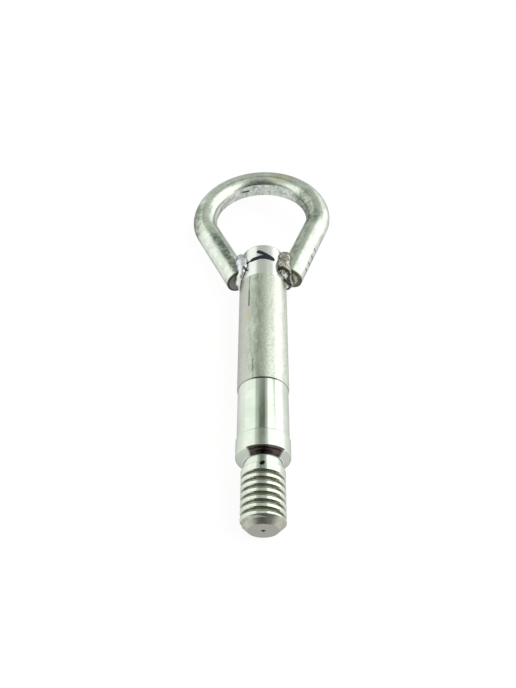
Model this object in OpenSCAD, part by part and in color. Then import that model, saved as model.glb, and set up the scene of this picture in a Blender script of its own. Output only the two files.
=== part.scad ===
// Screw-in tow eye: a turned, threaded shank with a bent round bar welded to its neck.
// The shank lies along Y with its threaded end face on the XZ plane.
// It is modelled as it lies: the shank is on the floor, and the left side of the eye is just above it.

/* [Thread] */
// Diameter over the thread's crests
thread_d = 16; // [13:0.5:18]
// Distance from one turn of the left-hand thread to the next
thread_pitch = 2.8; // [2.2:0.1:3.4]
// Depth of the thread's groove
thread_depth = 0.9; // [0.6:0.1:1.1]
// Width of the crest between two turns of the groove
crest_w = 1.1; // [0.7:0.1:1.4]
// Number of full turns of the groove before it runs out
thread_turns = 6; // [4:1:7]
// Plain stretch between the last full turn and the relief
runout_l = 4.4; // [3.6:0.1:6]
// Diameter of the flat end face
end_face_d = 10.8; // [8:0.2:12]
// Length of the chamfer on the threaded end
end_chamfer_l = 2.6; // [1:0.1:3]
// Diameter of the centre-drilled dimple in the end face
centre_d = 1.8; // [1:0.1:3]

/* [Seat and collar] */
// Diameter of the relief behind the thread
relief_d = 14.2; // [12.4:0.2:15.6]
// Length of the relief
relief_l = 3.7; // [2:0.1:6]
// Length of the conical seat
seat_l = 2.3; // [2:0.1:4]
// Radius of the round between the seat and the collar
seat_round = 1.5; // [0.5:0.1:1.6]
// Diameter of the collar
collar_d = 20.2; // [19:0.1:24]
// Length of the collar, with its edge chamfers
collar_l = 6.8; // [4:0.1:12]

/* [Shank] */
// Diameter of the lower stretch of the shank
lower_d = 19.4; // [17.8:0.1:20]
// Length of the lower stretch
lower_l = 22; // [10:0.5:40]
// Diameter of the upper stretch of the shank
upper_d = 20; // [19:0.1:22]
// Length of the upper stretch
upper_l = 53.9; // [30:0.1:80]
// Diameter of the neck that the eye is welded to
neck_d = 18.8; // [17:0.1:19.8]
// Length of the neck
neck_l = 17.5; // [15:0.1:20]
// Size of the rounded edge at the neck's free end
neck_round = 1.2; // [0.6:0.1:2]
// Size of the small edge chamfers along the shank
edge = 0.4; // [0.2:0.1:0.6]

/* [Eye] */
// Diameter of the round bar
bar_d = 10.8; // [8:0.2:12]
// Radius of the large bend, at the middle of the bar
crown_r = 26; // [22:0.5:34]
// Radius of the two small bends, at the middle of the bar
shoulder_r = 14.7; // [9:0.1:18]
// Angle that each small bend turns through
shoulder_turn = 18.6; // [14:0.1:24]
// Angle between each leg and the shank
leg_angle = 23.6; // [20:0.1:25]
// Distance from the shank's shoulder to the middle of each leg's end
leg_seat = 5.1; // [4:0.1:6]
// Distance from the shank's middle to the middle of each leg's end
leg_offset = 11; // [10.6:0.1:12.4]
// Angle that the eye was welded out of line with the shank
eye_lean = 2; // [0:0.1:2.5]
// Height of the eye's left side above the floor that the shank lies on
eye_gap = 0.8; // [0.5:0.1:1.5]
// Depth of the flat that the bending die pressed inside the large bend
die_flat = 0.85; // [0.4:0.05:1.2]

/* [Weld] */
// Radius of the weld beads
bead_r = 2.9; // [2.4:0.1:3.4]
// Height that the ripples of the beads rise and fall
bead_ripple = 0.3; // [0:0.05:0.5]

/* [Hidden] */

steel = "silver";
weld_steel = "darkgray";

// Stations along the shank, from the end face
groove_start = 4.3;
thread_end = groove_start + (thread_turns - 1) * thread_pitch + runout_l - 1;
relief_start = thread_end;
seat_start = relief_start + relief_l;
collar_start = seat_start + seat_l;
lower_start = collar_start + collar_l;
upper_start = lower_start + lower_l;
shoulder_y = upper_start + upper_l;
neck_end = shoulder_y + neck_l;

// Groove of the thread: steep flanks below, and shallow ones above that round the crest off
groove_steps = 36;
groove_over = 0.25;
groove_w = thread_pitch - crest_w;
groove_floor_w = groove_w * 0.28;
groove_waist_w = groove_w * 0.62;
groove_waist = thread_depth * 0.36;
groove_lead = 2;
fade_angle = -270;
fade_steps = 18;
fade_rise = thread_depth * 1.1;

// Slope of the conical seat, which runs on into the round
seat_steps = 6;
seat_rise = (collar_d - relief_d) / 2;
seat_reach = norm([seat_l, seat_rise - seat_round]);
seat_slope = atan2(seat_rise - seat_round, seat_l) + asin(seat_round / seat_reach);

// Drilled dimple in the end face
centre_depth = centre_d * 0.8;
centre_tip_r = 0.1;
cut_clear = 0.01;

// Centre lines of the eye, worked out from the leg's end back to the crown
bar_r = bar_d / 2;
lean_share = 0.45;
crown_turn = 90 + leg_angle - shoulder_turn;
leg_foot = [leg_offset, shoulder_y + leg_seat];
shoulder_reach = (crown_r - shoulder_r) * sin(crown_turn) + shoulder_r * cos(leg_angle);
leg_l = (shoulder_reach - leg_offset) / sin(leg_angle);
leg_top = leg_foot + leg_l * [sin(leg_angle), cos(leg_angle)];
shoulder_c = leg_top - shoulder_r * [cos(leg_angle), -sin(leg_angle)];
crown_y = shoulder_c[1] - (crown_r - shoulder_r) * cos(crown_turn);
inner_r = crown_r - bar_r;
lean_y = leg_foot[1] + (crown_y - leg_foot[1]) * lean_share;
rest_roll = asin((collar_d / 2 - bar_r - eye_gap) / (crown_r + (crown_y - lean_y) * sin(eye_lean)));
bend_thinning = 0.03;
bend_lap = 0.2;
die_fade = 75;
die_shift = die_flat / (1 - cos(die_fade));

// Seam of each weld: round the crotch between leg and neck, then back across the leg's end
neck_r = neck_d / 2;
seam_top = bar_r * 0.8;
seam_bottom = -bar_r * 0.6;
seam_middle = (seam_top + seam_bottom) / 2;
seam_half = (seam_top - seam_bottom) / 2;
crotch_beads = 11;
foot_beads = 5;
foot_bead_r = bead_r * 0.9;
bead_seat = 0.45;
crotch_ripple_turn = 130;
foot_ripple_turn = 110;
foot_ripple_phase = 70;

function sq(v) = v * v;

// Point on the neck at height z, at distance y along it
function on_neck(y, z) = [sqrt(sq(neck_r) - sq(z)), y, z];

// Place along the shank where the right leg's surface meets the neck at height z
function crotch_y(z) =
    let (gap = sqrt(sq(bar_r) - sq(z)) / cos(leg_angle))
    leg_foot[1] + (sqrt(sq(neck_r) - sq(z)) + gap - leg_foot[0]) / tan(leg_angle);

// Place along the shank where the plane of the leg's end meets the neck at height z
function foot_y(z) = leg_foot[1] - (sqrt(sq(neck_r) - sq(z)) - leg_foot[0]) * tan(leg_angle);

function unit(v) = v / norm(v);
function neck_normal(z) = [sqrt(sq(neck_r) - sq(z)), 0, z] / neck_r;
function leg_normal(z) =
    let (side = sqrt(sq(bar_r) - sq(z)) / bar_r)
    [-side * cos(leg_angle), side * sin(leg_angle), z / bar_r];
foot_normal = [-sin(leg_angle), -cos(leg_angle), 0];

function crotch_bead(z, r) = on_neck(crotch_y(z), z) + r * bead_seat * unit(neck_normal(z) + leg_normal(z));
function foot_bead(z, r) = on_neck(foot_y(z), z) + r * bead_seat * unit(neck_normal(z) + foot_normal);

// One closed ribbon of four sides that winds round Y, to cut the left-hand groove
module thread_groove() {
    floor_r = thread_d / 2 - thread_depth;
    waist_r = thread_d / 2 - groove_waist;
    mouth_r = thread_d / 2 + groove_over;
    mouth_w = groove_w + (groove_w - groove_waist_w) * groove_over / groove_waist;
    section = [[-groove_floor_w / 2, floor_r], [groove_floor_w / 2, floor_r],
               [groove_waist_w / 2, waist_r], [mouth_w / 2, mouth_r],
               [-mouth_w / 2, mouth_r], [-groove_waist_w / 2, waist_r]];
    sides_n = len(section);
    rings = groove_steps * (thread_turns + groove_lead);
    last_y = groove_start + (thread_turns - 1) * thread_pitch;
    points = [for (i = [0:rings]) for (s = section)
        let (a = fade_angle + 360 * i / groove_steps,
             r = s[1] + fade_rise * max(0, 1 - i / fade_steps))
        [r * sin(a), last_y - thread_pitch * a / 360 + s[0], r * cos(a)]];
    sides = [for (i = [0:rings - 1]) for (k = [0:sides_n - 1])
        let (a = sides_n * i + k, b = sides_n * i + (k + 1) % sides_n)
        each [[b, a, a + sides_n], [b, a + sides_n, b + sides_n]]];
    n = sides_n * rings;
    // Each end is closed from its waist corner, which sees all the others
    near_cap = [[5, 0, 1], [5, 1, 2], [5, 2, 3], [5, 3, 4]];
    far_cap = [for (t = near_cap) [n + t[2], n + t[1], n + t[0]]];
    polyhedron(points = points, faces = concat(sides, near_cap, far_cap), convexity = 12);
}

// The turned outline of the shank, without its thread
module shank_blank() {
    thread_r = thread_d / 2;
    collar_r = collar_d / 2;
    lower_r = lower_d / 2;
    upper_r = upper_d / 2;
    rotate([-90, 0, 0])
        rotate_extrude($fn = 96)
            polygon(concat(
                [[0, 0], [end_face_d / 2, 0], [thread_r, end_chamfer_l]],
                [[thread_r, relief_start], [relief_d / 2, relief_start + edge / 2]],
                [[relief_d / 2, seat_start]],
                [for (i = [seat_steps:-1:0])
                    let (a = seat_slope * i / seat_steps)
                    [collar_r - seat_round * (1 - cos(a)), collar_start - seat_round * sin(a)]],
                [[collar_r, lower_start - edge], [lower_r, lower_start]],
                [[lower_r, upper_start], [upper_r - edge / 2, upper_start]],
                [[upper_r, upper_start + edge / 2]],
                [[upper_r, shoulder_y - edge], [upper_r - edge, shoulder_y], [neck_r, shoulder_y]],
                [for (a = [0:15:90])
                    [neck_r - neck_round * (1 - cos(a)), neck_end - neck_round * (1 - sin(a))]],
                [[0, neck_end]]));
}

module threaded_shank() {
    color(steel)
        difference() {
            shank_blank();
            thread_groove();
            rotate([-90, 0, 0])
                translate([0, 0, -cut_clear])
                    cylinder(h = centre_depth, r1 = centre_d / 2, r2 = centre_tip_r, $fn = 32);
        }
}

// One bend of the bar round the origin: starts over +Y and turns clockwise seen from above
module bend(radius, turn, thin = 0) {
    rotate([0, 0, 90 - turn])
        rotate_extrude(angle = turn, $fn = 96)
            translate([radius, 0])
                circle(r = bar_r - thin, $fn = 48);
}

// The small bend and the leg that follow the crown on the right, in the crown's own frame
module shoulder_and_leg() {
    rotate([0, 0, -crown_turn])
        translate([0, crown_r - shoulder_r, 0]) {
            rotate([0, 0, bend_lap])
                bend(shoulder_r, shoulder_turn + 2 * bend_lap, bend_thinning);
            rotate([0, 0, -shoulder_turn])
                translate([0, shoulder_r, 0])
                    rotate([0, 90, 0])
                        cylinder(h = leg_l, r = bar_r, $fn = 48);
        }
}

module bar() {
    translate([0, crown_y, 0]) {
        rotate([0, 0, crown_turn])
            bend(crown_r, 2 * crown_turn);
        shoulder_and_leg();
        mirror([1, 0, 0])
            shoulder_and_leg();
    }
}

// Leans the eye out of line, then rolls it until its left side is close to the floor
module at_rest() {
    rotate([0, -rest_roll, 0])
        translate([0, lean_y, 0])
            rotate([0, 0, eye_lean])
                translate([0, -lean_y, 0])
                    children();
}

module eye_loop() {
    color(steel)
        difference() {
            at_rest()
                bar();
            // The legs are cut to sit against the round of the neck
            rotate([-90, 0, 0])
                cylinder(h = neck_end, r = neck_r, $fn = 96);
            // The die leaves a shallow flat inside the crown that fades out on both sides
            at_rest()
                translate([0, crown_y + die_shift, -bar_d])
                    cylinder(h = 2 * bar_d, r = inner_r + die_flat - die_shift, $fn = 96);
        }
}

// A string of overlapping beads on the right side, with ripples that start at the given phase
module beads(phase) {
    for (i = [0:crotch_beads - 1]) {
        z = seam_middle + seam_half * cos(180 * i / (crotch_beads - 1));
        r = bead_r + bead_ripple * sin(phase + crotch_ripple_turn * i);
        translate(crotch_bead(z, r))
            sphere(r = r, $fn = 32);
    }
    for (i = [0:foot_beads - 1]) {
        z = seam_middle + seam_half * cos(180 * (i + 0.5) / foot_beads);
        r = foot_bead_r + bead_ripple * sin(phase + foot_ripple_phase + foot_ripple_turn * i);
        translate(foot_bead(z, r))
            sphere(r = r, $fn = 32);
    }
}

module right_weld() {
    color(weld_steel)
        difference() {
            at_rest()
                beads(20);
            shank_blank();
            at_rest()
                bar();
        }
}

module left_weld() {
    color(weld_steel)
        difference() {
            at_rest()
                mirror([1, 0, 0])
                    beads(200);
            shank_blank();
            at_rest()
                bar();
        }
}

threaded_shank();
eye_loop();
left_weld();
right_weld();
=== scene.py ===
# %% [markdown]
# # A screw-in tow eye
# The real part is a turned steel shank with a coarse left-hand thread at one end. At the other end
# a bent round bar is welded to its neck as an eye, and all of it is thinly plated with zinc.
# The solids come from the packed model, so this lesson gives them their finishes, models the weld
# beads again with more detail, and sets up a floor, lights and a camera.

# %% Load the packed solids
import math
import bpy
from mathutils import Euler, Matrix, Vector


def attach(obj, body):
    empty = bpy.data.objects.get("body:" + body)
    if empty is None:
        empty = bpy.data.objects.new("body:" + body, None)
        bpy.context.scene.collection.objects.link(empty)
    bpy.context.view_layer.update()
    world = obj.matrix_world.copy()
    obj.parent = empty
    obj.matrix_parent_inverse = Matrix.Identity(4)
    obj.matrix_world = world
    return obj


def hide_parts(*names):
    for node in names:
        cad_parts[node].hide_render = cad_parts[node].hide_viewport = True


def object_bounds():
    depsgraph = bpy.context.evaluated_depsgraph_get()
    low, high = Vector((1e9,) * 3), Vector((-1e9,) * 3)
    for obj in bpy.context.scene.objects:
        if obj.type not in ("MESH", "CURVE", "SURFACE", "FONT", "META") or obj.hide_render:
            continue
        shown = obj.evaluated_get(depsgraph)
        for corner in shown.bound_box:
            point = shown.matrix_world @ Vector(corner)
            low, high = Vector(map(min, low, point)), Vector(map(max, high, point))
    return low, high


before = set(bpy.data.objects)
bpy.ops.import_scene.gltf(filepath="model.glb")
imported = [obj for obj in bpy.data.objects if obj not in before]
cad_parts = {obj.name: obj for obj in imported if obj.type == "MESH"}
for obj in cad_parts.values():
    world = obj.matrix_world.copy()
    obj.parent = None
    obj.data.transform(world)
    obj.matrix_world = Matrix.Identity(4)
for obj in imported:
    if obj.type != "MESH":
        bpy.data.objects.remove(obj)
solid_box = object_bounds()
scene = bpy.context.scene
MM_PER_M = 1000


def in_mm(box):
    """The two corners of a box in millimetres, rounded for printing."""
    return [tuple(round(v * MM_PER_M, 1) for v in corner) for corner in box]


print("solids:", sorted(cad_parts))
print("box of the solids in mm:", in_mm(solid_box))

# %% [markdown]
# The part lies on a table and the camera looks down on it from close above the threaded end, so the
# thread looks large and the eye looks small. A camera could be set by eye, but its place and angle
# were worked out by fitting a pinhole camera to the photo's outlines, and these numbers are that fit.

# %% Camera
camera = bpy.data.objects.new("camera", bpy.data.cameras.new("camera"))
scene.collection.objects.link(camera)
camera.data.sensor_width = 36
camera.data.lens = 39.15
camera.location = (-0.02280, -0.10773, 0.23293)
camera.rotation_euler = Euler([math.radians(turn) for turn in (38.7255, -5.2605, 0.2141)])
scene.camera = camera
scene.view_settings.view_transform = "Standard"
print("camera at", tuple(round(v, 3) for v in camera.location), "lens", camera.data.lens)

# %% [markdown]
# The table is a plain white sheet. A sheet lit by the lamps alone renders light grey, and brighter
# lamps would burn out the steel, so most of its white is given to the rays that come from the
# camera or from a reflection. The rest is lit by the lamps, which keeps the part's soft shadow.

# %% Floor
FLOOR_SIZE = 6
LIT_SPREAD = 0.8
SHOWN_SPREAD, SHOWN_GLOW = 0.20, 0.85
bpy.ops.object.select_all(action="DESELECT")
bpy.ops.mesh.primitive_plane_add(size=FLOOR_SIZE, location=(0, 0, solid_box[0].z))
floor = bpy.context.active_object
floor.name = "floor"
paper = bpy.data.materials.new("white_paper")
paper.use_nodes = True
paper_nodes, paper_links = paper.node_tree.nodes, paper.node_tree.links
paper_nodes.clear()


def paper_shade(spread, glow):
    """Paper that is lit by a share of the lamps' light and glows by itself."""
    diffuse = paper_nodes.new("ShaderNodeBsdfDiffuse")
    diffuse.inputs["Color"].default_value = (spread, spread, spread, 1)
    emission = paper_nodes.new("ShaderNodeEmission")
    emission.inputs["Color"].default_value = (glow, glow, glow, 1)
    both = paper_nodes.new("ShaderNodeAddShader")
    paper_links.new(diffuse.outputs[0], both.inputs[0])
    paper_links.new(emission.outputs[0], both.inputs[1])
    return both.outputs[0]


path = paper_nodes.new("ShaderNodeLightPath")
looked_at = paper_nodes.new("ShaderNodeMath")
looked_at.operation = "MAXIMUM"
paper_links.new(path.outputs["Is Camera Ray"], looked_at.inputs[0])
paper_links.new(path.outputs["Is Glossy Ray"], looked_at.inputs[1])
shown = paper_nodes.new("ShaderNodeMixShader")
paper_links.new(looked_at.outputs[0], shown.inputs[0])
paper_links.new(paper_shade(LIT_SPREAD, 0), shown.inputs[1])
paper_links.new(paper_shade(SHOWN_SPREAD, SHOWN_GLOW), shown.inputs[2])
sheet_out = paper_nodes.new("ShaderNodeOutputMaterial")
paper_links.new(shown.outputs[0], sheet_out.inputs["Surface"])
floor.data.materials.append(paper)
print("floor at z =", round(solid_box[0].z, 5))

# %% [markdown]
# Steel shows what stands round it, so the room matters as much as the finish. The photo's
# reflections were traced back from the fitted camera: the whole right side of the room is bright,
# the left side is a little dimmer, and the far side is plain grey. Each bright side is built from
# large even panels, which light the part as softly as a window and a white wall would.

# %% Room and lamps
ROOM_COLOUR = (0.52, 0.56, 0.50, 1)
room = bpy.data.worlds.new("room")
room.use_nodes = True
room.node_tree.nodes["Background"].inputs["Color"].default_value = ROOM_COLOUR
scene.world = room


def soft_lamp(name, place, facing, width, height, brightness):
    """A rectangular lamp of even brightness, in metres. Facing is the way its light goes."""
    lamp = bpy.data.objects.new(name, bpy.data.lights.new(name, "AREA"))
    lamp.data.shape = "RECTANGLE"
    lamp.data.size = width
    lamp.data.size_y = height
    lamp.data.energy = brightness * math.pi * width * height
    lamp.location = place
    lamp.rotation_euler = Vector(facing).to_track_quat("-Z", "Y").to_euler()
    lamp.visible_camera = False
    scene.collection.objects.link(lamp)
    print(name, "energy", round(lamp.data.energy, 2))
    return lamp


soft_lamp("right_wall_lamp", (1.2, 0.25, 0.45), (-1, 0, 0), 2.5, 1.1, 0.95)
soft_lamp("far_right_lamp", (0.85, 1.3, 0.4), (-0.56, -0.83, 0), 0.9, 0.9, 0.6)
soft_lamp("right_ceiling_lamp", (0.725, 0.2, 1.0), (0, 0, -1), 0.95, 1.6, 0.95)
soft_lamp("middle_ceiling_lamp", (-0.275, -0.05, 1.0), (0, 0, -1), 1.05, 1.1, 0.15)
soft_lamp("left_wall_lamp", (-0.9, 0.35, 0.5), (1, 0, 0), 2.9, 1.2, 0.6)

# %% [markdown]
# Steel that faces the camera shows the dark side of the room behind it, and a narrow dark band along
# the top of the turned steel comes from something dark above the far side. A whole room could be
# modelled, but only its darkness shows, so plain sheets stand in for it, and only reflections see
# them. The darkest patch of the part, on its conical seat, is a dark reflection painted into the
# seat's colour and comes further down.

# %% Dark sheets
def dark_sheet(name, place, turn, width, height, colour):
    """A plain sheet that is seen in reflections alone."""
    bpy.ops.object.select_all(action="DESELECT")
    bpy.ops.mesh.primitive_plane_add(size=1, location=place, rotation=turn)
    sheet = bpy.context.active_object
    sheet.name = name
    sheet.scale = (width, height, 1)
    bpy.ops.object.transform_apply(location=True, rotation=True, scale=True)
    sheet.visible_camera = False
    sheet.visible_diffuse = False
    sheet.visible_shadow = False
    cloth = bpy.data.materials.new(name + "_cloth")
    cloth.use_nodes = True
    cloth.node_tree.nodes["Principled BSDF"].inputs["Base Color"].default_value = (*colour, 1)
    cloth.node_tree.nodes["Principled BSDF"].inputs["Roughness"].default_value = 1
    sheet.data.materials.append(cloth)
    print(name, "is", width, "by", height, "m")


UPRIGHT, LEVEL = (math.radians(90), 0, 0), (0, 0, 0)
dark_sheet("dark_curtain", (-0.15, -0.75, 0.72), UPRIGHT, 0.9, 1.6, (0.045, 0.030, 0.032))
dark_sheet("dark_legs", (0.1, -0.7, 0.24), UPRIGHT, 1.5, 0.6, (0.045, 0.032, 0.034))
dark_sheet("dark_figure", (-0.2, -0.45, 0.97), LEVEL, 0.6, 0.5, (0.20, 0.20, 0.19))
dark_sheet("dark_beam", (-0.19, 0.67, 0.98), LEVEL, 0.50, 0.20, (0.09, 0.10, 0.09))

# %% [markdown]
# A finish is a web of small nodes. It could be drawn by hand in the shader editor, but in a script
# the sums are easier to read when they look like sums. So a value that varies over the surface is
# wrapped in a small class, and its plus, minus, times and divided-by signs add Math nodes.

# %% Values that vary over a surface
def plug(socket, value):
    """Sets an input to a number or colour, or links it to a varying value."""
    if isinstance(value, Varying):
        value.tree.links.new(value.socket, socket)
    else:
        socket.default_value = value


class Varying:
    """The output of a node, with arithmetic signs that add Math nodes."""

    def __init__(self, socket):
        self.socket = socket
        self.tree = socket.id_data

    def sum_of(self, operation, *values):
        node = self.tree.nodes.new("ShaderNodeMath")
        node.operation = operation
        for socket, value in zip(node.inputs, values):
            plug(socket, value)
        return Varying(node.outputs[0])

    def __add__(self, other):
        return self.sum_of("ADD", self, other)

    def __radd__(self, other):
        return self.sum_of("ADD", other, self)

    def __sub__(self, other):
        return self.sum_of("SUBTRACT", self, other)

    def __rsub__(self, other):
        return self.sum_of("SUBTRACT", other, self)

    def __mul__(self, other):
        return self.sum_of("MULTIPLY", self, other)

    def __rmul__(self, other):
        return self.sum_of("MULTIPLY", other, self)

    def __truediv__(self, other):
        return self.sum_of("DIVIDE", self, other)

    def __pow__(self, other):
        return self.sum_of("POWER", self, other)

    def __abs__(self):
        return self.sum_of("ABSOLUTE", self)

    def least(self, other):
        return self.sum_of("MINIMUM", self, other)

    def most(self, other):
        return self.sum_of("MAXIMUM", self, other)

    def rise(self, low, high):
        """0 below low, 1 above high, and smooth in between."""
        node = self.tree.nodes.new("ShaderNodeMapRange")
        node.interpolation_type = "SMOOTHSTEP"
        for name, value in (("Value", self), ("From Min", low), ("From Max", high)):
            plug(node.inputs[name], value)
        return Varying(node.outputs["Result"])

    def between(self, low, high, soft):
        """1 between low and high, and 0 outside, with soft edges."""
        return self.rise(low - soft, low + soft) * (1 - self.rise(high - soft, high + soft))


print("Varying has", len([name for name in vars(Varying) if name.startswith("__")]), "special methods")

# %% [markdown]
# All the finishes here are plated steel, so one class starts each of them: a metal shader whose
# constants sit on the shader itself, a place in millimetres read from the object's own
# coordinates, and short names for noise, pits and mixes. The frame's Y axis runs along the shank.

# %% A plated steel finish
class Steel:
    """A metal finish, with its nodes made from short calls."""

    def __init__(self, name, **constants):
        self.material = bpy.data.materials.new(name)
        self.material.use_nodes = True
        self.tree = self.material.node_tree
        self.shader = self.tree.nodes["Principled BSDF"]
        self.shader.inputs["Metallic"].default_value = 1
        for socket, value in constants.items():
            self.shader.inputs[socket.replace("_", " ")].default_value = value
        object_place = self.make("ShaderNodeTexCoord", output="Object")
        in_metres = {0: object_place, "Scale": MM_PER_M}
        self.place = self.make("ShaderNodeVectorMath", {"operation": "SCALE"}, in_metres)
        self.x, self.y, self.z = (self.part_of(self.place, axis) for axis in "XYZ")

    def make(self, kind, settings=None, inputs=None, output=0):
        """Adds a node: its settings come first, and then the values or links of its inputs."""
        node = self.tree.nodes.new(kind)
        for name, value in (settings or {}).items():
            setattr(node, name, value)
        for name, value in (inputs or {}).items():
            plug(node.inputs[name], value)
        return Varying(node.outputs[output])

    def part_of(self, vector, axis):
        """The X, Y or Z of a vector."""
        return self.make("ShaderNodeSeparateXYZ", {}, {0: vector}, axis)

    def point(self, x, y, z):
        return self.make("ShaderNodeCombineXYZ", {}, {"X": x, "Y": y, "Z": z})

    def noise(self, scale, detail, roughness, at=None):
        """A cloudy value round 0.5. A larger scale makes smaller clouds."""
        inputs = {"Vector": at or self.place, "Scale": scale, "Detail": detail, "Roughness": roughness}
        return self.make("ShaderNodeTexNoise", {}, inputs, "Fac")

    def pits(self, scale, share, size):
        """Small round spots: a share of the cells of a Voronoi pattern each hold one."""
        inputs = {"Vector": self.place, "Scale": scale}
        distance = self.make("ShaderNodeTexVoronoi", {}, inputs, "Distance")
        cell = self.make("ShaderNodeTexVoronoi", {}, inputs, "Color")
        pick = self.part_of(cell, "X")
        return (1 - distance.rise(size * 0.5, size)) * (1 - pick.rise(share - 0.01, share + 0.01))

    def turned(self, angle):
        """The place, turned round the shank's axis."""
        turn = {"Vector": self.place, "Angle": angle}
        return self.make("ShaderNodeVectorRotate", {"rotation_type": "Y_AXIS"}, turn)

    def angle_of(self, side, ahead):
        """The angle of a point, measured from ahead towards the side."""
        return self.make("ShaderNodeMath", {"operation": "ARCTAN2"}, {0: side, 1: ahead})

    def stroke(self, across, along, start, end, half_width, soft=0.12):
        """1 on a line between two points of a flat map in millimetres, and 0 off it."""
        run, climb = end[0] - start[0], end[1] - start[1]
        share = ((across - start[0]) * run + (along - start[1]) * climb) / (run * run + climb * climb)
        share = share.most(0).least(1)
        off_across = across - start[0] - share * run
        off_along = along - start[1] - share * climb
        distance = (off_across * off_across + off_along * off_along) ** 0.5
        return 1 - distance.rise(half_width - soft, half_width + soft)

    def strokes(self, across, along, lines):
        """1 on any of several lines, each with its two ends and its half width."""
        drawn = self.stroke(across, along, *lines[0])
        for line in lines[1:]:
            drawn = drawn.most(self.stroke(across, along, *line))
        return drawn

    def mix(self, factor, first, second):
        """The first colour where the factor is 0, and the second where it is 1."""
        node = self.tree.nodes.new("ShaderNodeMix")
        node.data_type = "RGBA"
        plug(node.inputs[0], factor)
        for socket, colour in ((node.inputs[6], first), (node.inputs[7], second)):
            plug(socket, colour if isinstance(colour, Varying) else (*colour, 1))
        return Varying(node.outputs[2])

    def bump(self, height, depth):
        """A surface normal from a height. Depth is what a height of 1 stands for, in millimetres."""
        return self.make("ShaderNodeBump", {}, {"Height": height, "Distance": depth / MM_PER_M})

    def finish(self, colour, roughness, normal):
        """Links the three to the shader and returns the material."""
        plug(self.shader.inputs["Base Color"], colour)
        plug(self.shader.inputs["Roughness"], roughness)
        plug(self.shader.inputs["Normal"], normal)
        print(self.material.name, "has", len(self.tree.nodes), "nodes")
        return self.material


def dress(piece, material):
    """Gives a piece its one material."""
    piece.data.materials.clear()
    piece.data.materials.append(material)


# %% [markdown]
# The shank was turned on a lathe, so fine rings run round it, and its upper stretch was left as drawn
# bar, with a mottled grain, a stain and a few long dark scratches. The dark areas on the seat and on
# the relief are painted reflections, and the darker left part of the drawn bar, the grooves of the
# thread, two thin lines at steps and the centre dimple hold painted shade, all at fixed places. Each
# stretch could be a piece of its own, but it is one bar, so its single finish changes with the
# distance along it. A second number, the distance round the bar from its top line, places single
# marks.

# %% Stations along the shank and its radii in millimetres
CHAMFER_END, RELIEF_START, SEAT_START, COLLAR_START = 2.6, 21.7, 25.4, 27.7
LOWER_START, UPPER_START, SHOULDER, NECK_END = 34.5, 56.5, 110.4, 127.9
RELIEF_R, SHANK_R, NECK_R = 7.1, 10, 9.4
print("neck length", round(NECK_END - SHOULDER, 2))

# %% Patterns of the shank
shank = Steel("turned_steel", Specular_Tint=(0.62, 0.62, 0.62, 1))
along = shank.y
round_angle = shank.angle_of(shank.x, shank.z)
round_bar = round_angle * SHANK_R
off_axis = shank.point(shank.x, 0, shank.z)
radius = shank.make("ShaderNodeVectorMath", {"operation": "LENGTH"}, {0: off_axis}, "Value")
rings = shank.noise(7, 3, 0.6, at=shank.point(0, along, 0))
cloud = shank.noise(0.13, 4, 0.6)
grain = shank.noise(1.5, 4, 0.7, at=shank.point(shank.x, along * 0.6, shank.z))
fine_grain = shank.noise(6, 3, 0.6)
streaks = shank.noise(0.75, 5, 0.68, at=shank.point(shank.x, along * 0.22, shank.z))
specks = shank.pits(0.62, 0.22, 0.14)
print("shank patterns: rings, cloud, grain, fine grain, streaks, specks")

# %% Stretches of the shank
upper = along.between(UPPER_START, SHOULDER, 0.1)
neck = along.rise(SHOULDER - 0.1, SHOULDER + 0.1)
seat = along.between(SEAT_START + 0.1, COLLAR_START - 0.5, 0.12)
end = 1 - along.rise(CHAMFER_END - 0.1, CHAMFER_END + 0.05)
flat_end = 1 - along.rise(0.02, 0.1)
# Inside the centre dimple of the end face the colour is painted nearly black, as shade.
centre_hole_shade = flat_end.most(1 - along.rise(1.2, 1.4)) * (1 - radius.rise(0.75, 0.9))
thread = 1 - along.rise(RELIEF_START - 0.1, RELIEF_START + 0.1)
# The grooves of the thread, where the colour is darkened as painted shade and the steel is rougher.
groove = thread * (1 - end) * (1 - radius.rise(7.5, 7.97))
# A thin line of painted shadow at the step where the upper stretch begins.
step_shadow_line = along.between(UPPER_START - 0.25, UPPER_START + 0.2, 0.08)
# A thin ring of painted shadow on the relief, near the end of the thread.
thin_shadow_ring = along.between(22.5, 22.7, 0.06)
# A small dark spot near the top of the relief is a painted reflection.
relief_reflection_spot = shank.stroke(round_angle * RELIEF_R, along, (-1.1, 21.4), (-0.8, 22.0), 0.8)
collar_line = along.between(LOWER_START - 0.3, LOWER_START + 0.05, 0.1)
print("upper stretch from", UPPER_START, "to", SHOULDER, "mm")

# %% Marks and painted shade on the upper stretch
long_scratch = shank.stroke(round_bar, along, (-7.1, 93.5), (-7.0, 101.5), 0.32)
faint_scratch = shank.stroke(round_bar, along, (-7.0, 101.5), (-6.8, 109.5), 0.22) * 0.6
low_scratch = shank.stroke(round_bar, along, (-5.2, 60), (-4.9, 65.5), 0.24) * 0.7
low_twig = shank.stroke(round_bar, along, (-5.0, 61), (-3.7, 63.8), 0.2) * 0.6
scratch = long_scratch.most(faint_scratch).most(low_scratch).most(low_twig)
stain = shank.stroke(round_bar, along, (-8.0, 84), (-7.9, 90.5), 1.0, 0.9) * grain.rise(0.3, 0.6)
# The left part of the upper stretch is painted darker, as shade.
shaded_side = round_bar.between(-8, -1.8, 1.6)
print("upper stretch has four scratches, a stain and a darker side")

# %% [markdown]
# A check mark was drawn on the neck with a dark blue paint pen: one short and one long stroke that
# meet in a point. It could be a decal, but four short lines on the same map of the surface do it,
# and the pen's uneven edge comes from shifting that map by a little noise.

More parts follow.
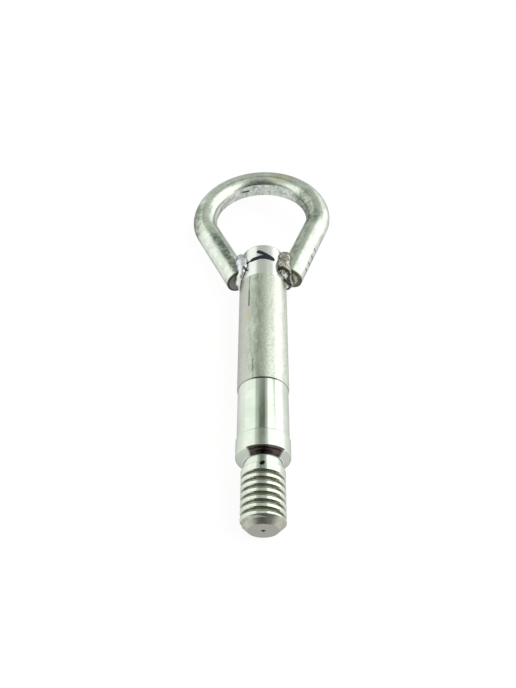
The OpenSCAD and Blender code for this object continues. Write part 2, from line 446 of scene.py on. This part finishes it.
# %% Check mark on the neck
pen_wobble = (shank.noise(1.1, 2, 0.5) - 0.5) * 0.5
pen_round = round_angle * NECK_R + pen_wobble
pen_along = along + pen_wobble
PEN_LINES = [((-2.8, 123.3), (3.2, 119.8), 0.95), ((3.3, 119.6), (-1.8, 120.0), 1.15),
             ((-1.4, 119.9), (-5.6, 119.3), 1.05), ((-5.6, 119.3), (-12, 118.2), 0.55)]
check_mark = shank.strokes(pen_round, pen_along, PEN_LINES) * neck
print("check mark lines:", len(PEN_LINES))

# %% Colours of the shank's stretches
turned_colour = shank.mix(cloud.rise(0.3, 0.7), (0.68, 0.74, 0.655), (0.78, 0.83, 0.755))
upper_colour = shank.mix(grain.rise(0.34, 0.66), (0.62, 0.67, 0.57), (0.86, 0.89, 0.81))
upper_colour = shank.mix(streaks.rise(0.5, 0.72) * 0.45, upper_colour, (0.42, 0.46, 0.38))
# Painted shade on the left part, broken up by the streaks of the grain.
grain_and_side_shade = (streaks.rise(0.35, 0.6) * 0.42 + 0.34) * shaded_side
upper_colour = shank.mix(grain_and_side_shade, upper_colour, (0.30, 0.34, 0.275))
# The far left side is painted greyer, as shade.
greyed_side_shade = (1 - round_bar.rise(-9.5, -4.5)) * 0.62
upper_colour = shank.mix(greyed_side_shade, upper_colour, (0.46, 0.465, 0.44))
upper_colour = shank.mix(stain * 0.75, upper_colour, (0.58, 0.50, 0.34))
colour = shank.mix(upper, turned_colour, upper_colour)
colour = shank.mix(neck, colour, (0.82, 0.83, 0.82))
colour = shank.mix(seat, colour, (0.52, 0.55, 0.50))
print("colours of the turned steel, the drawn stretch, the neck and the seat")

# %% Colours of the seat's painted reflection and the threaded end
# The dark patch on the upper side of the seat is a painted reflection of the dark room in front of the
# part.
seat_reflection_edge = abs(shank.x + grain * 0.4 - 0.3) - (along - SEAT_START) * 0.85
seat_reflection = along.between(SEAT_START - 0.05, COLLAR_START - 0.1, 0.12) * (1 - seat_reflection_edge.rise(4.7, 5.5))
seat_reflection = seat_reflection * shank.z.rise(0, 2)
seat_reflection_colour = shank.mix(streaks.rise(0.4, 0.6), (0.060, 0.052, 0.048), (0.110, 0.082, 0.078))
end_colour = shank.mix(streaks.rise(0.4, 0.6), (0.56, 0.565, 0.50), (0.47, 0.47, 0.41))
# The grooves of the thread are painted darker, as shade.
groove_shade_colour = shank.mix(streaks.rise(0.35, 0.6), (0.36, 0.37, 0.27), (0.22, 0.23, 0.16))
# Painted dark reflection on the upper side of the seat.
colour = shank.mix(seat_reflection, colour, seat_reflection_colour)
colour = shank.mix(end, colour, end_colour)
colour = shank.mix(flat_end, colour, (0.42, 0.425, 0.38))
# Painted shade in the grooves of the thread.
colour = shank.mix(groove * 0.9, colour, groove_shade_colour)
print("colours of the smear, the chamfered end and the grooves of the thread")

# %% Colours of the shank's marks, painted shade and painted reflection
# Painted shadow ring on the relief.
colour = shank.mix(thin_shadow_ring * 0.5, colour, (0.30, 0.33, 0.28))
# Painted reflection spot on the relief.
colour = shank.mix(relief_reflection_spot, colour, (0.02, 0.03, 0.025))
colour = shank.mix(specks * (upper * 0.5 + 0.45), colour, (0.10, 0.11, 0.09))
colour = shank.mix(scratch * 0.75, colour, (0.12, 0.13, 0.10))
# The painted shadow at the step is strongest near the top line of the bar.
step_shadow_strength = round_bar.between(-5, 4.5, 1.5)
colour = shank.mix(step_shadow_line * (0.3 + step_shadow_strength * 0.6), colour, (0.05, 0.05, 0.04))
colour = shank.mix(collar_line * 0.4, colour, (0.25, 0.26, 0.22))
# Painted shade in the centre dimple.
colour = shank.mix(centre_hole_shade * 0.85, colour, (0.04, 0.035, 0.03))
colour = shank.mix(check_mark, colour, (0.010, 0.012, 0.026))
print("colours of the rings, specks, scratches, centre mark and check mark")

# %% Finish of the shank
collar = along.between(COLLAR_START - 0.3, LOWER_START, 0.3)
roughness = 0.12 + upper * (0.14 + grain * 0.12) + neck * 0.1 + cloud * 0.06 + collar * 0.05
roughness = roughness - seat * 0.03 + seat_reflection * 0.06 + end * 0.24 + groove * 0.2
roughness = roughness + scratch * 0.3 + check_mark * 0.35
height = rings * (0.25 - upper * 0.2) + (grain + streaks) * (upper * 1.1 + 0.05)
height = height + fine_grain * (0.15 + end * 0.6) - specks * 1.2 - scratch * 0.8
shank_steel = shank.finish(colour, roughness, shank.bump(height, 0.022))
plug(shank.shader.inputs["Metallic"], 1 - check_mark)
dress(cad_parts["threaded_shank"], shank_steel)

# %% [markdown]
# The eye is drawn bar that was bent round a die. The inside of the large bend looks flattened, with
# pits in it, and a dark band of painted shade runs along the ridge above the flat. The dark areas on
# the legs and shoulders are painted shade too. Painting on a UV map could place such marks, but the
# eye is made of arcs and straight legs, so a few sums turn an object place into a distance along the
# bend and a height over the eye's own plane.

# %% The eye's own plane and bends
EYE_ROLL, EYE_LEAN, LEAN_Y = math.radians(8.39), math.radians(2), 132.7
CROWN_Y, CROWN_R, LEG_ANGLE, FOOT = 153.8, 26, math.radians(23.6), (11, 115.5)
loop = Steel("bent_bar_steel", Specular_Tint=(0.5, 0.5, 0.5, 1))
rolled = loop.turned(EYE_ROLL)
rolled_x = loop.part_of(rolled, "X")
rolled_y = loop.part_of(rolled, "Y") - LEAN_Y
eye_x = rolled_x * math.cos(EYE_LEAN) + rolled_y * math.sin(EYE_LEAN)
eye_y = LEAN_Y + rolled_y * math.cos(EYE_LEAN) - rolled_x * math.sin(EYE_LEAN)
eye_z = loop.part_of(rolled, "Z")
crown_angle = loop.angle_of(eye_x, eye_y - CROWN_Y)
crown_reach = (eye_x * eye_x + (eye_y - CROWN_Y) ** 2) ** 0.5
inwards = CROWN_R - crown_reach
leg_along = (abs(eye_x) - FOOT[0]) * math.sin(LEG_ANGLE) + (eye_y - FOOT[1]) * math.cos(LEG_ANGLE)
leg_out = (abs(eye_x) - FOOT[0]) * math.cos(LEG_ANGLE) - (eye_y - FOOT[1]) * math.sin(LEG_ANGLE)
on_crown = eye_y.rise(CROWN_Y - 1, CROWN_Y + 3)
on_leg = 1 - eye_y.rise(CROWN_Y - 16, CROWN_Y - 6)
left_side = 1 - eye_x.rise(-1, 1)
print("leg ends at", FOOT)

# %% Patterns of the eye
mottle = loop.noise(0.22, 5, 0.62)
blotch = loop.noise(0.55, 4, 0.65)
bar_grain = loop.noise(3.2, 4, 0.65)
speckle = loop.noise(1.3, 5, 0.72)
pits = loop.pits(0.75, 0.3, 0.17)
coarse_pits = loop.pits(0.42, 0.45, 0.24)
print("eye patterns: mottle, blotch, grain, speckle and two sizes of pits")

# %% Marks and painted shade on the bend
RIDGE_TURN, HOLLOW_R, PATCH_R = 0.16, 21.6, 23
ridge_height = 3.1 - (crown_angle - RIDGE_TURN) ** 2 * 1.3
over_ridge = eye_z - ridge_height
ridge_width = 3.6 - abs(crown_angle + 0.08).rise(0.12, 0.42) * 2.3
# A dark band of painted shade along the ridge above the die's flat.
ridge_shade = over_ridge.rise(-0.35, 0.15) * (1 - over_ridge.rise(0.3, ridge_width)) * on_crown
ridge_shade = ridge_shade * inwards.rise(0.5, 2.5) * (1 - abs(crown_angle - RIDGE_TURN).rise(0.3, 1.15))
die_face = (1 - over_ridge.rise(-0.5, 0)) * inwards.rise(3.3, 4.2) * on_crown
hollow = loop.stroke(crown_angle * HOLLOW_R, eye_z, (-5.8, 0.2), (-8.5, 0.5), 0.5, 0.3) * die_face
worn_patch = loop.stroke(crown_angle * PATCH_R, eye_z, (5.3, 4.8), (12.8, 4.8), 1.1, 0.8) * on_crown
print("bend has a flat of the die, a dark ridge, a hollow and a worn patch")

# %% Marks and painted shade on the legs and shoulders
# Painted shade on the top of the left leg, on both shoulders and on the inner side of the right leg.
leg_shade = on_leg * left_side * leg_out.between(-2.6, 1.5, 1.1) * eye_z.rise(1, 3)
leg_shade = leg_shade * (1 - leg_along.rise(24, 34))
left_shade = loop.stroke(eye_x, eye_y, (-30.4, 145), (-29, 159), 2.8, 2.0) * eye_z.rise(-3, 0)
right_shade = loop.stroke(eye_x, eye_y, (19.2, 163.5), (22.4, 149), 4.0, 2.6) * eye_z.rise(-3, 0)
shoulder_shade = left_shade.most(right_shade)
cut_face = on_leg * (1 - leg_along.rise(0.04, 0.16))
cut_reach = (leg_out * leg_out + eye_z * eye_z) ** 0.5
right_side = 1 - left_side
rim_edge = cut_reach.rise(3.0 + left_side * 1.2, 4.0 + left_side * 0.8)
# A dark rim of painted shade where each leg's cut end meets its weld.
cut_rim_shade = on_leg * (1 - leg_along.rise(0.25, 0.9)) * rim_edge
inner_shade = on_leg * right_side * leg_out.between(-5.4, -0.6, 1.2) * eye_z.rise(-1, 2)
inner_shade = inner_shade * mottle.rise(0.35, 0.6)
SPECKS = [(21.3, 126), (19.7, 122.2), (18.2, 118.8), (18, 114.9), (22.8, 129.9)]
speck_lines = [((x, y), (x, y + 0.1), 0.34) for x, y in SPECKS]
leg_specks = loop.strokes(eye_x, eye_y, speck_lines) * eye_z.rise(-1, 1)
print("specks on the right leg:", len(SPECKS))

# %% Colours of the eye
colour = loop.mix(mottle.rise(0.3, 0.7), (0.64, 0.69, 0.62), (0.87, 0.90, 0.84))
colour = loop.mix(die_face * (0.3 + blotch.rise(0.4, 0.62) * 0.55), colour, (0.34, 0.37, 0.34))
colour = loop.mix(inner_shade * 0.85, colour, (0.27, 0.30, 0.24))
colour = loop.mix(speckle.rise(0.54, 0.68) * 0.55, colour, (0.32, 0.36, 0.31))
colour = loop.mix(worn_patch * 0.6, colour, (0.66, 0.64, 0.46))
colour = loop.mix(leg_shade * (0.35 + blotch.rise(0.34, 0.56) * 0.6), colour, (0.19, 0.23, 0.21))
colour = loop.mix(shoulder_shade * (0.35 + blotch.rise(0.3, 0.6) * 0.6), colour, (0.22, 0.26, 0.21))
# Painted shade along the ridge.
colour = loop.mix(ridge_shade * (0.3 + blotch * 0.9).least(1), colour, (0.13, 0.15, 0.14))
dots = pits * (0.4 + 0.6 * worn_patch.most(leg_shade)).least(1)
colour = loop.mix(dots, colour, (0.08, 0.09, 0.07))
colour = loop.mix(coarse_pits * die_face * 0.7, colour, (0.07, 0.08, 0.07))
colour = loop.mix(hollow.most(leg_specks) * 0.9, colour, (0.05, 0.055, 0.05))
colour = loop.mix(cut_face, colour, (0.22, 0.23, 0.21))
colour = loop.mix(cut_face * right_side * blotch.rise(0.3, 0.6), colour, (0.60, 0.60, 0.52))
# Painted shade at the rim of the cut ends.
colour = loop.mix(cut_rim_shade * (0.6 + 0.35 * blotch), colour, (0.045, 0.04, 0.03))
print("colours of the bar, the bend's marks, the shades, the pits and the cut faces")

# %% Finish of the eye
roughness = 0.18 + mottle * 0.1 + die_face * 0.12 + ridge_shade * 0.15 + leg_shade * 0.1
roughness = roughness + cut_face * 0.25 + pits * 0.1
height = mottle * 0.8 + speckle * 0.8 + bar_grain * 0.35 + blotch * (die_face + leg_shade) * 1.4
height = height - pits * 0.8 - hollow * 3
loop_steel = loop.finish(colour, roughness, loop.bump(height, 0.04))
dress(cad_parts["eye_loop"], loop_steel)

# %% [markdown]
# Each weld is a string of frozen ripples between the neck and a leg. The left one is bright and the
# right one is partly burnt dark. A dark line of painted shade marks the crevice below the right one,
# and another marks a slit in the left one. Each could have a finish of its own, but both are the same
# filler metal, so one finish tells them apart by the side of the part.

# %% Finish of the welds
bead = Steel("weld_steel", Specular_Tint=(0.5, 0.5, 0.5, 1))
slag = bead.noise(0.8, 5, 0.65)
ripple = bead.noise(2.2, 4, 0.65)
right_bead = bead.x.rise(-1, 1)
scale_colour = bead.mix(right_bead, (0.86, 0.86, 0.92), (0.60, 0.59, 0.53))
burnt_colour = bead.mix(right_bead, (0.72, 0.72, 0.79), (0.24, 0.23, 0.19))
colour = bead.mix(slag.rise(0.35, 0.65), burnt_colour, scale_colour)
left_foot = (1 - bead.y.rise(115, 116.5)) * (1 - right_bead)
colour = bead.mix(left_foot * slag.rise(0.3, 0.6), colour, (0.86, 0.90, 0.84))
drip = (1 - bead.y.rise(113.2, 114.2)) * right_bead
colour = bead.mix(drip, colour, (0.86, 0.87, 0.82))
# A dark line of painted shade in the crevice under the right bead.
crevice_y = 115.6 - (bead.x - 6) * 0.45 + (slag - 0.5) * 1.6
crevice_shade = 1 - abs(bead.y - crevice_y).rise(0.35, 0.95)
colour = bead.mix(crevice_shade * right_bead * 0.95, colour, (0.03, 0.028, 0.02))
# A dark line of painted shade in a slit of the left bead.
slit_shade = bead.stroke(bead.x, bead.y, (-8.9, 116.2), (-7.6, 115.2), 0.3, 0.2) * (1 - right_bead)
colour = bead.mix(slit_shade, colour, (0.03, 0.03, 0.03))
colour = bead.mix(bead.pits(0.7, 0.3, 0.2) * 0.6, colour, (0.10, 0.10, 0.09))
weld_steel = bead.finish(colour, 0.26 + ripple * 0.2, bead.bump(ripple + slag * 2, 0.06))

# %% [markdown]
# The weld metal froze in ripples that run into one another. A weld could be sculpted from a new
# block, but the solid beads already sit in the right place, so a copy of them is melted into one
# skin by a remesh, smoothed until the beads flow together, and displaced for its ripples.

# %% Model the welds
MERGE_DISTANCE, VOXEL_SIZE, LUMP_SIZE = 0.00001, 0.00022, 0.0011


def melt_weld(node, name, smoothing, lump_height):
    """Turns a copy of a solid weld into one rippled skin."""
    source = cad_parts[node]
    piece = bpy.data.objects.new(name, source.data.copy())
    scene.collection.objects.link(piece)
    bpy.ops.object.select_all(action="DESELECT")
    bpy.context.view_layer.objects.active = piece
    piece.select_set(True)
    bpy.ops.object.mode_set(mode="EDIT")
    bpy.ops.mesh.select_all(action="SELECT")
    bpy.ops.mesh.remove_doubles(threshold=MERGE_DISTANCE)
    bpy.ops.mesh.normals_make_consistent(inside=False)
    bpy.ops.object.mode_set(mode="OBJECT")
    remesh = piece.modifiers.new("melt", "REMESH")
    remesh.mode = "VOXEL"
    remesh.voxel_size = VOXEL_SIZE
    bpy.ops.object.modifier_apply(modifier="melt")
    flow = piece.modifiers.new("flow", "SMOOTH")
    flow.factor = 0.5
    flow.iterations = smoothing
    bpy.ops.object.modifier_apply(modifier="flow")
    lumps = bpy.data.textures.new(name + "_lumps", "CLOUDS")
    lumps.noise_scale = LUMP_SIZE
    raise_lumps = piece.modifiers.new("lumps", "DISPLACE")
    raise_lumps.texture = lumps
    raise_lumps.strength = lump_height
    raise_lumps.mid_level = 0.5
    bpy.ops.object.modifier_apply(modifier="lumps")
    bpy.ops.object.shade_smooth()
    dress(piece, weld_steel)
    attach(piece, "root")
    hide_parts(node)
    print(name, "has", len(piece.data.polygons), "faces")
    return piece


melt_weld("left_weld", "left_weld_bead", 70, 0.0003)
melt_weld("right_weld", "right_weld_bead", 30, 0.0006)

# %% [markdown]
